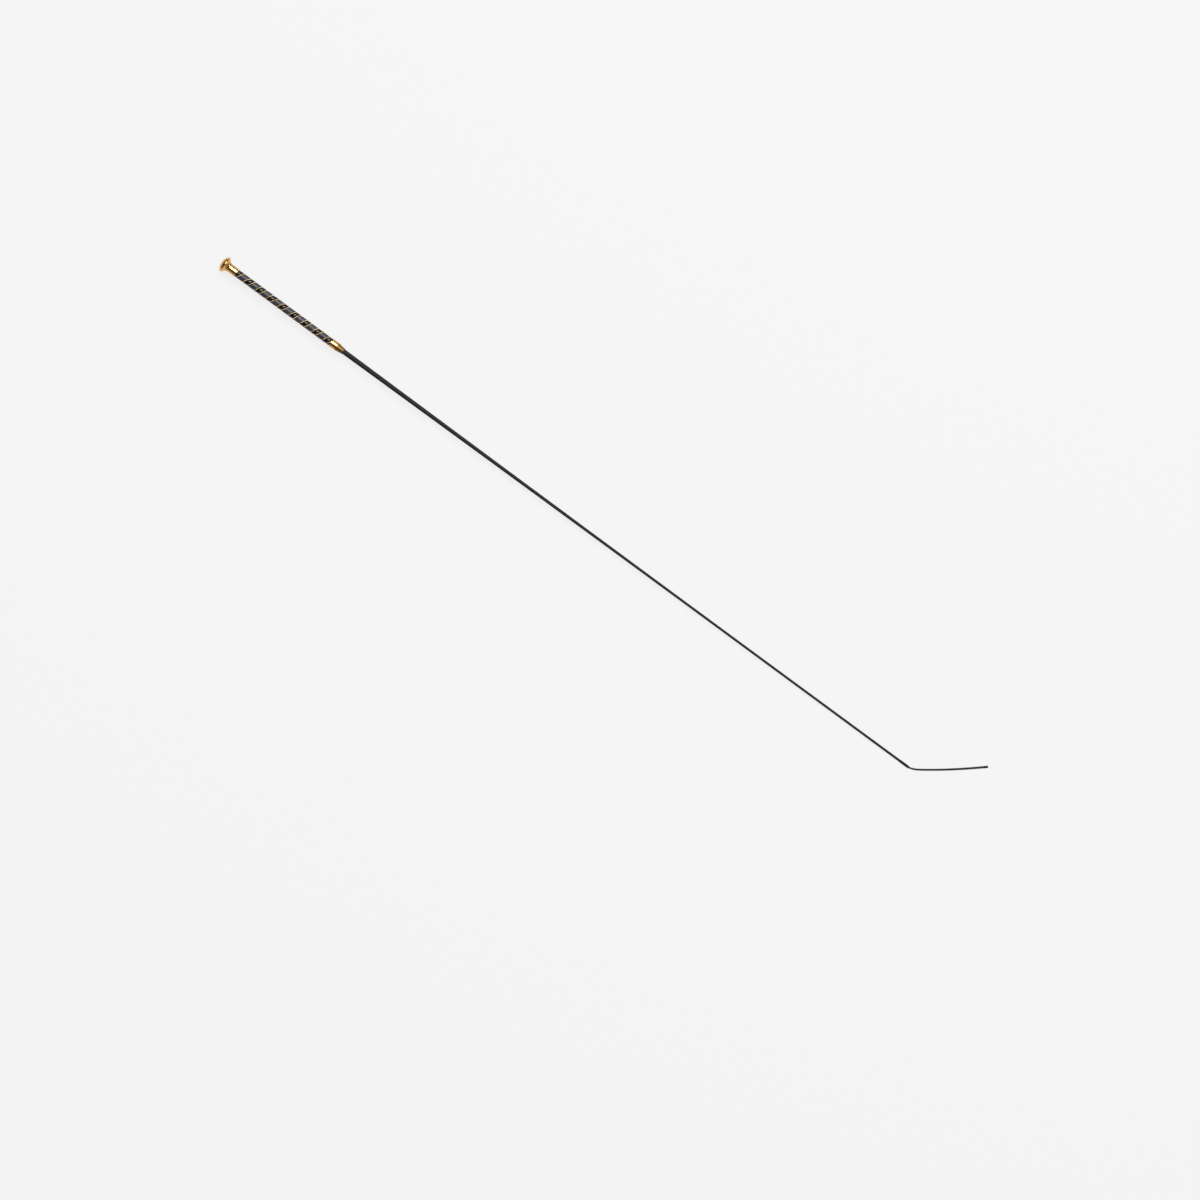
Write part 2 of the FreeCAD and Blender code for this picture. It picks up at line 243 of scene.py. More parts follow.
def noise(nodes, links, scale, detail=3.0, roughness=0.5, stretch=None):
    """Noise over the object's own coordinates, stretched where one axis is given another scale."""
    coordinates = nodes.new("ShaderNodeTexCoord")
    texture = nodes.new("ShaderNodeTexNoise")
    texture.inputs["Scale"].default_value = scale
    texture.inputs["Detail"].default_value = detail
    texture.inputs["Roughness"].default_value = roughness
    source = coordinates.outputs["Object"]
    if stretch is not None:
        mapping = nodes.new("ShaderNodeMapping")
        mapping.inputs["Scale"].default_value = stretch
        links.new(source, mapping.inputs["Vector"])
        source = mapping.outputs["Vector"]
    links.new(source, texture.inputs["Vector"])
    return texture.outputs["Fac"]


def ramp(nodes, links, source, stops):
    """Colour ramp over a value: stops are (position, colour)."""
    node = nodes.new("ShaderNodeValToRGB")
    elements = node.color_ramp.elements
    while len(elements) < len(stops):
        elements.new(0.5)
    for element, (position, colour) in zip(elements, stops):
        element.position = position
        element.color = (*colour, 1)
    links.new(source, node.inputs["Fac"])
    return node.outputs["Color"]


def spread(nodes, links, source, low, high):
    """A value between low and high, from one between 0 and 1."""
    node = nodes.new("ShaderNodeMapRange")
    node.inputs["To Min"].default_value = low
    node.inputs["To Max"].default_value = high
    links.new(source, node.inputs["Value"])
    return node.outputs["Result"]


def multiplied(nodes, links, first, second, share):
    """One colour multiplied by another, by a share from 0 to 1."""
    mix = nodes.new("ShaderNodeMix")
    mix.data_type = "RGBA"
    mix.blend_type = "MULTIPLY"
    mix.inputs["Factor"].default_value = share
    links.new(first, mix.inputs["A"])
    links.new(second, mix.inputs["B"])
    return mix.outputs["Result"]


def add_bump(nodes, links, shader, heights, strength, distance):
    """Chain bump nodes, one for each height, into a shader's normal."""
    normal = None
    for height in heights:
        bump = nodes.new("ShaderNodeBump")
        bump.inputs["Strength"].default_value = strength
        bump.inputs["Distance"].default_value = distance
        links.new(height, bump.inputs["Height"])
        if normal is not None:
            links.new(normal, bump.inputs["Normal"])
        normal = bump.outputs["Normal"]
    links.new(normal, shader.inputs["Normal"])


def scaled(colour, factor):
    """A colour made lighter or darker."""
    return tuple(min(1.0, channel * factor) for channel in colour[:3])


def gilt_material(colour, turned_lines):
    """Polished gilt brass with a faint lathe grain, soft clouding and small scratches."""
    material, nodes, links, shader = new_material("gilt_brass_turned" if turned_lines else "gilt_brass")
    clouds = noise(nodes, links, scale=260, detail=4.0, roughness=0.6)
    tint = ramp(nodes, links, clouds, [(0.3, scaled(colour, 0.82)), (0.55, colour[:3]),
                                       (0.75, scaled(colour, 1.12))])
    links.new(tint, shader.inputs["Base Color"])
    shader.inputs["Metallic"].default_value = 1.0
    smudge = noise(nodes, links, scale=420, detail=5.0, roughness=0.65)
    rough_low, rough_high = (0.38, 0.54) if turned_lines else (0.06, 0.16)
    links.new(spread(nodes, links, smudge, rough_low, rough_high), shader.inputs["Roughness"])
    grain = noise(nodes, links, scale=900, detail=3.0, roughness=0.6, stretch=(6.0, 0.6, 0.6))
    scratch = noise(nodes, links, scale=2600, detail=2.0, roughness=0.5, stretch=(0.3, 2.0, 2.0))
    strength = 0.25 if turned_lines else 0.06
    add_bump(nodes, links, shader, [grain, scratch], strength, distance=0.04 * MM)
    return material


def gold_thread_material(colour):
    """Metallised thread: fine wrapped ribbing along each ply, brighter on its crests."""
    material, nodes, links, shader = new_material("gold_thread")
    uv = nodes.new("ShaderNodeUVMap")
    uv.uv_map = "Surface"
    wave = nodes.new("ShaderNodeTexWave")
    wave.bands_direction = "Y"
    wave.inputs["Scale"].default_value = 2600
    wave.inputs["Distortion"].default_value = 0.4
    links.new(uv.outputs["UV"], wave.inputs["Vector"])
    fade = noise(nodes, links, scale=700, detail=3.0)
    tint = ramp(nodes, links, fade, [(0.3, scaled(colour, 0.7)), (0.55, colour[:3]),
                                     (0.72, scaled(colour, 1.25))])
    links.new(tint, shader.inputs["Base Color"])
    shader.inputs["Metallic"].default_value = 0.85
    links.new(spread(nodes, links, fade, 0.22, 0.4), shader.inputs["Roughness"])
    add_bump(nodes, links, shader, [wave.outputs["Fac"]], strength=0.35, distance=0.05 * MM)
    return material


def leather_material(colour):
    """Matte leather: fine pebbled grain with painted shade in its pits, slight creases and rubbed lighter patches.
    """
    material, nodes, links, shader = new_material("grey_leather")
    coordinates = nodes.new("ShaderNodeTexCoord")
    pebble = nodes.new("ShaderNodeTexVoronoi")
    pebble.feature = "SMOOTH_F1"
    pebble.inputs["Scale"].default_value = 2300
    links.new(coordinates.outputs["Object"], pebble.inputs["Vector"])
    crease = noise(nodes, links, scale=520, detail=5.0, roughness=0.62)
    rub = noise(nodes, links, scale=120, detail=4.0, roughness=0.6)
    tint = ramp(nodes, links, rub, [(0.3, scaled(colour, 0.72)), (0.52, colour[:3]),
                                    (0.74, scaled(colour, 1.38))])
    # Painted shade: the colour is darkened where the grain's Voronoi distance is low, in the same pits that the
    # bump sinks.
    grain_pit_shade = ramp(nodes, links, pebble.outputs["Distance"], [(0.0, (0.82, 0.82, 0.84)), (0.6, (1, 1, 1))])
    links.new(multiplied(nodes, links, tint, grain_pit_shade, 0.8), shader.inputs["Base Color"])
    links.new(spread(nodes, links, crease, 0.36, 0.52), shader.inputs["Roughness"])
    shader.inputs["Specular IOR Level"].default_value = 0.5
    add_bump(nodes, links, shader, [pebble.outputs["Distance"], crease], strength=0.4, distance=0.08 * MM)
    return material


def patent_material(colour):
    """Black patent strip: gloss over faint waviness, with dust-fine scuffs."""
    material, nodes, links, shader = new_material("patent_black")
    wavy = noise(nodes, links, scale=300, detail=2.0)
    scuff = noise(nodes, links, scale=1500, detail=4.0, roughness=0.7)
    tint = ramp(nodes, links, wavy, [(0.35, scaled(colour, 0.8)), (0.7, scaled(colour, 1.5))])
    links.new(tint, shader.inputs["Base Color"])
    links.new(spread(nodes, links, scuff, 0.04, 0.12), shader.inputs["Roughness"])
    shader.inputs["Specular IOR Level"].default_value = 0.35
    add_bump(nodes, links, shader, [wavy], strength=0.2, distance=0.1 * MM)
    return material


def braid_material(name, colour, roughness, yarn_scale):
    """Braided yarn: fine filaments, patches of wear, and painted shade that darkens each strand towards its sides
    and where it dips under the other family, with a slight tone difference between the two families.
    """
    material, nodes, links, shader = new_material(name)
    crevice_shade_tone = nodes.new("ShaderNodeAttribute")
    crevice_shade_tone.attribute_name = "crevice_shade_tone"
    fibre = noise(nodes, links, yarn_scale, detail=3.0, roughness=0.6)
    patch = noise(nodes, links, scale=90, detail=3.0)
    base = ramp(nodes, links, patch, [(0.3, scaled(colour, 0.75)), (0.55, colour[:3]),
                                      (0.8, scaled(colour, 1.3))])
    # Painted shade: the per-vertex attribute, taken from the braid's height, darkens the colour where strands dip
    # into the crevices between them; its lower value on the second family adds a slight tone difference.
    shades = [(place_of, (shade,) * 3) for place_of, shade in ((0.0, 0.35), (0.5, 0.85), (1.0, 1.15))]
    crevice_shade_ramp = ramp(nodes, links, crevice_shade_tone.outputs["Fac"], shades)
    links.new(multiplied(nodes, links, base, crevice_shade_ramp, 1.0), shader.inputs["Base Color"])
    links.new(spread(nodes, links, fibre, roughness, roughness + 0.22), shader.inputs["Roughness"])
    shader.inputs["Specular IOR Level"].default_value = 0.27
    add_bump(nodes, links, shader, [fibre], strength=0.35, distance=0.05 * MM)
    return material


def plain_material(name, colour, roughness, metallic, scale):
    """Simple mottled finish for pieces inside the whip, with fine bump."""
    material, nodes, links, shader = new_material(name)
    mottle = noise(nodes, links, scale, detail=4.0)
    tint = ramp(nodes, links, mottle, [(0.3, scaled(colour, 0.8)), (0.7, scaled(colour, 1.15))])
    links.new(tint, shader.inputs["Base Color"])
    shader.inputs["Metallic"].default_value = metallic
    links.new(spread(nodes, links, mottle, roughness, min(1.0, roughness + 0.15)), shader.inputs["Roughness"])
    add_bump(nodes, links, shader, [mottle], strength=0.2, distance=0.05 * MM)
    return material


def finish_piece(piece, material, body, slot, *nodes):
    """Give a piece its material and body, and hide the CAD nodes that it stands in for; its slot is not used."""
    piece.data.materials.clear()
    piece.data.materials.append(material)
    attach(piece, body)
    for node in nodes:
        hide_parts(node)
    return piece


# Settings

class StageSettings(bpy.types.PropertyGroup):
    lens: FloatProperty(name="Lens", description="Focal length, in millimetres", default=100.0)
    view_width: FloatProperty(name="View width", description="Width of the surface that the camera sees",
                              default=1.548, unit="LENGTH")
    view_turn: FloatProperty(name="View turn", description="Turn of the camera about its line of sight",
                             default=math.radians(36.34), subtype="ANGLE")
    aim: FloatVectorProperty(name="Aim", description="Point on the surface under the camera",
                             default=(0.101, -0.062, 0.0), subtype="TRANSLATION")
    floor_colour: FloatVectorProperty(name="Floor", description="Colour of the floor",
                                      default=(0.08, 0.08, 0.08), subtype="COLOR")
    floor_glow: FloatProperty(name="Glow", description="Light that the floor gives of its own", default=0.82)
    key_power: FloatProperty(name="Key", description="Power of the large soft light",
                             default=420.0, unit="POWER")
    spark_power: FloatProperty(name="Spark", description="Power of the small light beyond the lash",
                               default=90.0, unit="POWER")
    walls: FloatProperty(name="Walls", description="Brightness of the room's walls", default=0.27)
    ceiling: FloatProperty(name="Ceiling", description="Brightness of the room's ceiling", default=0.05)


class MetalSettings(bpy.types.PropertyGroup):
    gilt: FloatVectorProperty(name="Gilt", description="Colour of the gilt brass",
                              default=(0.74, 0.415, 0.138), subtype="COLOR")
    edge: FloatProperty(name="Rim edge", description="Rounding of the cap's rim",
                        default=1.2 * MM, unit="LENGTH")
    bevel: FloatProperty(name="Bevel", description="Fall of the cap's rim towards its dome",
                         default=0.6 * MM, unit="LENGTH")
    rim_width: FloatProperty(name="Rim width", description="Width of the cap's rim",
                             default=3.8 * MM, unit="LENGTH")
    flare: FloatProperty(name="Flare", description="Length of the cap's flare",
                         default=7.2 * MM, unit="LENGTH")
    wall: FloatProperty(name="Wall", description="Wall of the cap's skirt",
                        default=0.38 * MM, unit="LENGTH")
    collar_wall: FloatProperty(name="Collar wall", description="Wall of the ferrule's collar",
                               default=0.33 * MM, unit="LENGTH")
    segments: IntProperty(name="Segments", description="Sides of each turned piece", default=192)
    rings: IntProperty(name="Rings", description="Turned rings on the ferrule's nose", default=7)
    ring_depth: FloatProperty(name="Ring depth", description="Height of each turned ring", default=0.05 * MM,
                              unit="LENGTH")
    lip: FloatProperty(name="Lip", description="Length of the lip at the nose's mouth", default=1.2 * MM,
                       unit="LENGTH")


class GripSettings(bpy.types.PropertyGroup):
    pitch: FloatProperty(name="Pitch", description="Length of one turn of the windings", default=18.0 * MM,
                         unit="LENGTH")
    spacing: FloatProperty(name="Spacing", description="Length between the two gold cords", default=7.6 * MM,
                           unit="LENGTH")
    lead: FloatProperty(name="Lead", description="Length that the first turn is under the cap",
                        default=2.0 * MM, unit="LENGTH")
    cord: FloatProperty(name="Cord", description="Diameter of a gold cord", default=1.0 * MM, unit="LENGTH")
    leather_height: FloatProperty(name="Leather", description="Thickness of the leather band",
                                  default=0.85 * MM, unit="LENGTH")
    strip_height: FloatProperty(name="Strip", description="Thickness of the patent strip", default=0.95 * MM,
                                unit="LENGTH")
    leather: FloatVectorProperty(name="Leather colour", description="Colour of the leather band",
                                 default=(0.033, 0.0305, 0.040), subtype="COLOR")
    patent: FloatVectorProperty(name="Strip colour", description="Colour of the patent strip",
                                default=(0.003, 0.003, 0.0035), subtype="COLOR")
    gold: FloatVectorProperty(name="Gold colour", description="Colour of the gold cords",
                              default=(0.95, 0.66, 0.31), subtype="COLOR")
    ply_twist: FloatProperty(name="Ply twist", description="Length of one turn of a gold cord's plies",
                             default=2.3 * MM, unit="LENGTH")


class StockSettings(bpy.types.PropertyGroup):
    taper: FloatProperty(name="Taper", description="Length over which the stock tapers", default=700.0 * MM,
                         unit="LENGTH")
    strands: IntProperty(name="Strands", description="Strands of the braid each way round", default=10)
    braid_angle: FloatProperty(name="Braid angle", description="Angle of the strands to the axis",
                               default=math.radians(38), subtype="ANGLE")
    relief: FloatProperty(name="Relief", description="Depth of the braid as a share of the radius",
                          default=0.075)
    thread: FloatProperty(name="Thread", description="Diameter of the whipping thread", default=0.2 * MM,
                          unit="LENGTH")
    socket: FloatProperty(name="Socket", description="Length from the whipping's mouth to the knot's middle",
                          default=1.1 * MM, unit="LENGTH")
    slack: FloatProperty(name="Slack", description="Gap between the knot and the whipping's mouth",
                         default=0.12 * MM, unit="LENGTH")
    colour: FloatVectorProperty(name="Braid colour", description="Colour of the braided cover",
                                default=(0.0135, 0.0112, 0.0122), subtype="COLOR")


class LashSettings(bpy.types.PropertyGroup):
    root: FloatProperty(name="Root", description="Diameter of the lash at its root",
                        default=2.4 * MM, unit="LENGTH")
    end: FloatProperty(name="End", description="Diameter of the lash at its end",
                       default=2.9 * MM, unit="LENGTH")
    neck: FloatProperty(name="Neck", description="Share by which the lash narrows inside its knot",
                        default=0.24)
    bend: FloatProperty(name="Bend", description="Share of the lash that bends where it turns on its knot",
                        default=0.045)
    diameter: FloatProperty(name="Diameter", description="Mean diameter of the lash", default=2.8 * MM,
                            unit="LENGTH")
    strands: IntProperty(name="Strands", description="Strands of the lash each way round", default=4)
    lay: FloatProperty(name="Lay", description="Length of one turn of a strand",
                       default=11.0 * MM, unit="LENGTH")
    thread: FloatProperty(name="Thread", description="Diameter of the thread round the lash's end",
                          default=0.18 * MM, unit="LENGTH")
    bound: FloatProperty(name="Bound", description="Length that is bound with thread",
                         default=5.2 * MM, unit="LENGTH")
    bare: FloatProperty(name="Bare", description="Length left bare beyond the thread",
                        default=0.8 * MM, unit="LENGTH")
    colour: FloatVectorProperty(name="Lash colour", description="Colour of the lash",
                                default=(0.0125, 0.0075, 0.0062), subtype="COLOR")


# Stage

class WHIP_OT_stage(bpy.types.Operator):
    """Put the whip on a pale floor under soft light, with the camera overhead"""
    bl_idname = "whip.stage"
    bl_label = "Stage"

    def execute(self, context):
        settings = context.scene.whip_stage
        aim = Vector(settings.aim)
        camera_data = bpy.data.cameras.new("camera")
        camera_data.lens = settings.lens
        camera_data.clip_end = 50
        camera = bpy.data.objects.new("camera", camera_data)
        height = settings.view_width * settings.lens / camera_data.sensor_width
        camera.location = aim + Vector((0, 0, height))
        camera.rotation_euler = (0, 0, settings.view_turn)
        context.scene.collection.objects.link(camera)
        context.scene.camera = camera
        context.scene.view_settings.view_transform = "Standard"
        self.add_floor(context, settings)
        self.add_light(context, "key", aim, Vector((-1.0, 2.7, 5.7)), (3.2, 4.8), settings.key_power)
        self.add_light(context, "spark", aim, Vector((2.6, 4.2, 4.2)), (1.8, 1.8), settings.spark_power)
        self.add_room(context, settings)
        return {"FINISHED"}

    def add_room(self, context, settings):
        """Room around the stage: grey walls that fade to a dark ceiling."""
        world = bpy.data.worlds.new("studio")
        world.use_nodes = True
        nodes, links = world.node_tree.nodes, world.node_tree.links
        coordinates = nodes.new("ShaderNodeTexCoord")
        axes = nodes.new("ShaderNodeSeparateXYZ")
        fade = nodes.new("ShaderNodeMapRange")
        fade.inputs["From Min"].default_value = 0.45
        fade.inputs["From Max"].default_value = 0.95
        fade.inputs["To Min"].default_value = settings.walls
        fade.inputs["To Max"].default_value = settings.ceiling
        links.new(coordinates.outputs["Generated"], axes.inputs["Vector"])
        links.new(axes.outputs["Z"], fade.inputs["Value"])
        links.new(fade.outputs["Result"], nodes["Background"].inputs["Strength"])
        nodes["Background"].inputs["Color"].default_value = (1, 1, 1, 1)
        context.scene.world = world

    def add_floor(self, context, settings):
        """Wide pale floor at the surface that the whip lies on."""
        bpy.ops.mesh.primitive_plane_add(size=30, location=(0, 0, 0))
        floor = context.active_object
        floor.name = "floor"
        material, _, _, shader = new_material("floor")
        shader.inputs["Base Color"].default_value = (*settings.floor_colour, 1)
        shader.inputs["Roughness"].default_value = 0.9
        shader.inputs["Specular IOR Level"].default_value = 0.1
        shader.inputs["Emission Color"].default_value = (1, 1, 1, 1)
        shader.inputs["Emission Strength"].default_value = settings.floor_glow
        floor.data.materials.append(material)

    def add_light(self, context, name, aim, offset, size, power):
        """Soft light of a length and width that looks at the aim from an offset."""
        data = bpy.data.lights.new(name, "AREA")
        data.shape = "RECTANGLE"
        data.size, data.size_y = size
        data.energy = power
        light = bpy.data.objects.new(name, data)
        light.location = aim + offset
        light.rotation_euler = (-offset).to_track_quat("-Z", "Y").to_euler()
        context.scene.collection.objects.link(light)


# Lash

# The lash's route from its pivot along the surface: distances along and across the whip
LASH_ROUTE = [(0.005, 0.0011), (0.0116, 0.0048), (0.0242, 0.0139), (0.0394, 0.0253), (0.0542, 0.0373),
              (0.0687, 0.0495), (0.0822, 0.0614)]
LASH_LIFT = 0.0016


def route_line(points, spacing):
    """Evenly spaced points along the smooth line that a route's points shape."""
    curve = bpy.data.curves.new("route", "CURVE")
    curve.dimensions = "3D"
    spline = curve.splines.new("NURBS")
    spline.points.add(len(points) - 1)
    for point, place_of in zip(spline.points, points):
        point.co = (*place_of, 1)
    spline.order_u = 3
    spline.use_endpoint_u = True
    spline.resolution_u = 32
    holder = bpy.data.objects.new("route", curve)
    bpy.context.scene.collection.objects.link(holder)
    mesh = bpy.data.meshes.new_from_object(holder.evaluated_get(bpy.context.evaluated_depsgraph_get()))
    line = np.array([vertex.co for vertex in mesh.vertices])
    bpy.data.objects.remove(holder)
    steps = np.concatenate([[0.0], np.cumsum(np.linalg.norm(np.diff(line, axis=0), axis=1))])
    even = np.linspace(0, steps[-1], int(round(steps[-1] / spacing)) + 1)
    return np.stack([np.interp(even, steps, line[:, axis]) for axis in range(3)], axis=1), steps[-1]


def coil_path(centres, radius, turns, per_turn):
    """Points of a coil of thread round a line of centres."""
    count = turns * per_turn + 1
    place_of = np.linspace(0, len(centres) - 1, count)
    whole = np.arange(len(centres))
    line = np.stack([np.interp(place_of, whole, centres[:, axis]) for axis in range(3)], axis=1)
    tangent = centres[-1] - centres[0]
    tangent /= np.linalg.norm(tangent)
    normal = np.cross(tangent, [0, 0, 1.0])
    normal /= np.linalg.norm(normal)
    binormal = np.cross(tangent, normal)
    turn = np.linspace(0, 2 * math.pi * turns, count)[:, None]
    return line + radius * (np.cos(turn) * normal + np.sin(turn) * binormal)


class WHIP_OT_lash(bpy.types.Operator):
    """Build the braided lash, its stopper knot and the thread bound round its end"""
    bl_idname = "whip.lash"
    bl_label = "Lash"

    def execute(self, context):
        settings = context.scene.whip_lash
        route = [PIVOT]
        for along, across in LASH_ROUTE:
            route.append(Vector((PIVOT.x + along, PIVOT.y + across, LASH_LIFT)))
        line, length = route_line(route, settings.lay / 64)
        cover = braid_material("lash_braid", settings.colour, roughness=0.42, yarn_scale=2600)
        thread = braid_material("lash_thread", scaled(settings.colour, 0.8), roughness=0.4, yarn_scale=3600)
        lash = self.build_lash(settings, line, length, cover)
        whipping = self.build_whipping(settings, line, thread)
        self.build_knot(cover)
        return {"FINISHED"}

    def build_lash(self, settings, line, length, material):
        """Braided cord that narrows into its knot and thickens towards its rounded end."""
        core, relief = 0.91, 0.12
        sides = 8 * settings.strands
        rings = tube_along(line, 1.0, sides)
        centre = line[:, None, :]
        outward = rings - centre
        along = np.linspace(0, length, len(line))[:, None]
        share = along / length
        clear_of_knot = np.clip(2 * along / settings.root - 1.3, 0, 1)
        radius = (settings.root + (settings.end - settings.root) * share ** 0.8) / 2
        radius = radius * (1 - settings.neck * (1 - clear_of_knot))
        turn = np.arange(sides)[None, :] / sides * settings.strands + OFF_SEAM
        shift = along / settings.lay * settings.strands
        height, first = braid_height(turn + shift, turn - shift)
        into_end = np.clip((along - (length - radius)) / radius, 0, 0.97)
        out = radius * (core + relief * height) * np.sqrt(1 - into_end ** 2)
        # Painted shade: this attribute follows the braid's height, so the lash is darker in the crevices between
        # its strands.
        crevice_shade_tone = 0.25 + 0.5 * height * np.where(first, 1.0, 0.8)
        piece = skin("lash_braid", centre + outward * out[..., None], attributes={"crevice_shade_tone": crevice_shade_tone})
        piece.data.materials.append(material)
        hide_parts("lash")
        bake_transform(piece)
        return piece

    def build_whipping(self, settings, line, material):
        """Thread bound round the lash's end."""
        lift = 0.03 * MM
        spacing = np.linalg.norm(line[1] - line[0])
        last = len(line) - 1 - int(settings.bare / spacing)
        first = last - int(settings.bound / spacing)
        turns = int(settings.bound / settings.thread)
        path = coil_path(line[first:last + 1], settings.end / 2 + lift, turns, per_turn=20)
        rings = tube_along(path, settings.thread / 2, 8)
        piece = skin("lash_end_thread", rings, attributes={"crevice_shade_tone": np.full(rings.shape[:2], 0.6)})
        return finish_piece(piece, material, "lash", "black_thread", "lash_end_whipping")

    def build_knot(self, material):
        """Small round stopper knot: one cord woven round a ball in bights and leads."""
        bights, leads = 5, 3
        radius = radius_of("lash_knot")
        strand = 0.3 * radius
        core = radius - 2 * strand
        turn = np.linspace(0, 2 * math.pi, 420, endpoint=False)
        tilt = 1.15 * np.sin(bights * turn)
        reach = core + strand + 0.25 * strand * np.cos(2 * bights * turn + 0.6)
        spin = leads * turn
        path = np.stack([reach * np.cos(tilt) * np.cos(spin), reach * np.cos(tilt) * np.sin(spin),
                         reach * np.sin(tilt)], axis=1)
        path += np.array(PIVOT)
        rings = tube_along(np.concatenate([path, path[:1]]), strand, 10)
        woven = skin("knot_weave", rings, attributes={"crevice_shade_tone": np.full(rings.shape[:2], 0.55)})
        near_pole = math.pi / 2 - 0.05
        latitudes = np.linspace(-near_pole, near_pole, 16)[:, None]
        turns = np.linspace(0, 2 * math.pi, 24, endpoint=False)[None, :]
        fill = core + 0.9 * strand
        ball = np.stack([fill * np.cos(latitudes) * np.cos(turns), fill * np.cos(latitudes) * np.sin(turns),
                         fill * np.sin(latitudes) + 0 * turns], axis=-1) + np.array(PIVOT)
        # Painted shade: the ball inside the weave gets a lower value than the cord, so it shows darker in the gaps
        # of the knot.
        inner = skin("knot_fill", ball, attributes={"crevice_shade_tone": np.full(ball.shape[:2], 0.3)})
        piece = joined("lash_knot_turns", [woven, inner])
        return finish_piece(piece, material, "lash_root", "lash_cord", "lash_knot")


# Cap and ferrule

class WHIP_OT_cap(bpy.types.Operator):
    """Turn the gilt cap and its domed top plate"""
    bl_idname = "whip.cap"
    bl_label = "Cap"

    def execute(self, context):
        settings = context.scene.whip_metal
        material = gilt_material(settings.gilt, False)
        rim_start, skirt_end = span("butt_cap")
        rim = radius_of("butt_cap")
        cap = turned("cap_body", self.cap_outline(settings, rim_start, skirt_end, rim), settings.segments,
                     sharp=math.radians(50))
        finish_piece(cap, material, "stock", "gilt_brass", "butt_cap")
        plate = turned("cap_dome", self.plate_outline(settings, rim_start, rim), settings.segments,
                       sharp=math.radians(50))
        finish_piece(plate, material, "stock", "gilt_brass", "cap_top_plate")
        return {"FINISHED"}

    def cap_outline(self, settings, rim_start, skirt_end, rim):
        """Rim, concave flare, neck and skirt, then back along the bore."""
        bore = radius_of("cap_bush") + FILM
        neck = bore + settings.wall
        rim_end = rim_start + settings.rim_width
        neck_start = rim_end + settings.flare
        flare_top = rim - settings.edge
        drop = flare_top - neck
        radius = (settings.flare ** 2 + drop ** 2) / (2 * drop)
        sweep = math.atan2(settings.flare, radius - drop)
        seat = rim - 2.1 * settings.edge
        screw_hole, skirt_edge, bore_edge = 2 * MM, 0.22 * MM, 0.08 * MM
        corners = [(rim_start, seat), (rim_start, rim - settings.bevel), (rim_end, rim)]
        outline = rounded(corners, [0, settings.edge, settings.edge], 9)
        for angle in np.linspace(sweep, 0, 40):
            outline.append((neck_start - radius * math.sin(angle), neck + radius * (1 - math.cos(angle))))
        tail = [(neck_start, neck), (skirt_end, neck), (skirt_end, bore), (rim_end + settings.edge, bore),
                (rim_end + settings.edge, screw_hole), (rim_end, screw_hole), (rim_end, seat)]
        outline += rounded(tail, [0, skirt_edge, bore_edge, 0, 0, 0, 0])[1:]
        return outline

    def plate_outline(self, settings, rim_start, rim):
        """Low dome, level in the middle, that ends just short of the rim's edge."""
        flat, thick, hub = 4.5 * MM, 0.8 * MM, 0.02 * MM
        edge = rim - settings.bevel - settings.edge
        rise = rim_start - 0.03 * MM
        outline = [(0, hub)]
        for share in np.linspace(0, 1, 28):
            outline.append((rise * share ** 1.8, flat + (edge - flat) * share))
        outline += [(rise, edge - thick), (rise, edge - 1.2 * thick), (thick, flat), (thick, hub)]
        return outline


class WHIP_OT_ferrule(bpy.types.Operator):
    """Turn the ferrule's polished collar and its ringed nose"""
    bl_idname = "whip.ferrule"
    bl_label = "Ferrule"

    def execute(self, context):
        settings = context.scene.whip_metal
        start, end = span("ferrule_collar")
        outer = radius_of("ferrule_collar")
        bore = outer - settings.collar_wall
        rear_edge, front_edge = 0.25 * MM, 0.3 * MM
        corners = [(start, outer), (end, outer), (end, bore), (start, bore)]
        outline = rounded(corners, [rear_edge, front_edge, 0, 0], 6)
        collar = turned("ferrule_ring", outline, settings.segments, sharp=math.radians(50))
        finish_piece(collar, gilt_material(settings.gilt, False), "stock", "gilt_brass", "ferrule_collar")
        nose = turned("ferrule_cone", self.nose_outline(settings, outer), settings.segments,
                      sharp=math.radians(60))
        # Painted shade: the nose is a darker copy of the collar's gilt, at 0.31 of its colour, standing in for the
        # light that its tilted cone catches less of; its greater roughness and turned grain are its own finish.
        shaded_gilt = gilt_material(scaled(settings.gilt, 0.31), True)
        finish_piece(nose, shaded_gilt, "stock", "gilt_brass", "ferrule_nose")
        return {"FINISHED"}

    def nose_outline(self, settings, collar):
        """Cone of small rounded rings, then the rounded lip at the mouth."""
        start, end = span("ferrule_nose")
        jacket = radius_of("braided_jacket")
        step, wall, bead, clearance = 0.3 * MM, 0.57 * MM, 0.26 * MM, 0.1 * MM
        wide, mouth = collar - step, jacket + wall
        lip_start = end - settings.lip
        outline = [(start, wide - 0.35 * MM)]
        for share in np.linspace(0, 1, 12 * settings.rings + 1):
            ring = abs(math.sin(math.pi * settings.rings * share)) ** 0.7
            outline.append((start + (lip_start - start) * share, wide + (mouth - wide) * share
                            + settings.ring_depth * ring))
        for angle in np.linspace(0, math.pi, 14)[1:]:
            outline.append((lip_start + settings.lip * (1 - math.cos(angle)) / 2,
                            mouth + bead * math.sin(angle)))
        outline += [(end, jacket + clearance), (lip_start, jacket + clearance)]
        return outline


# Grip

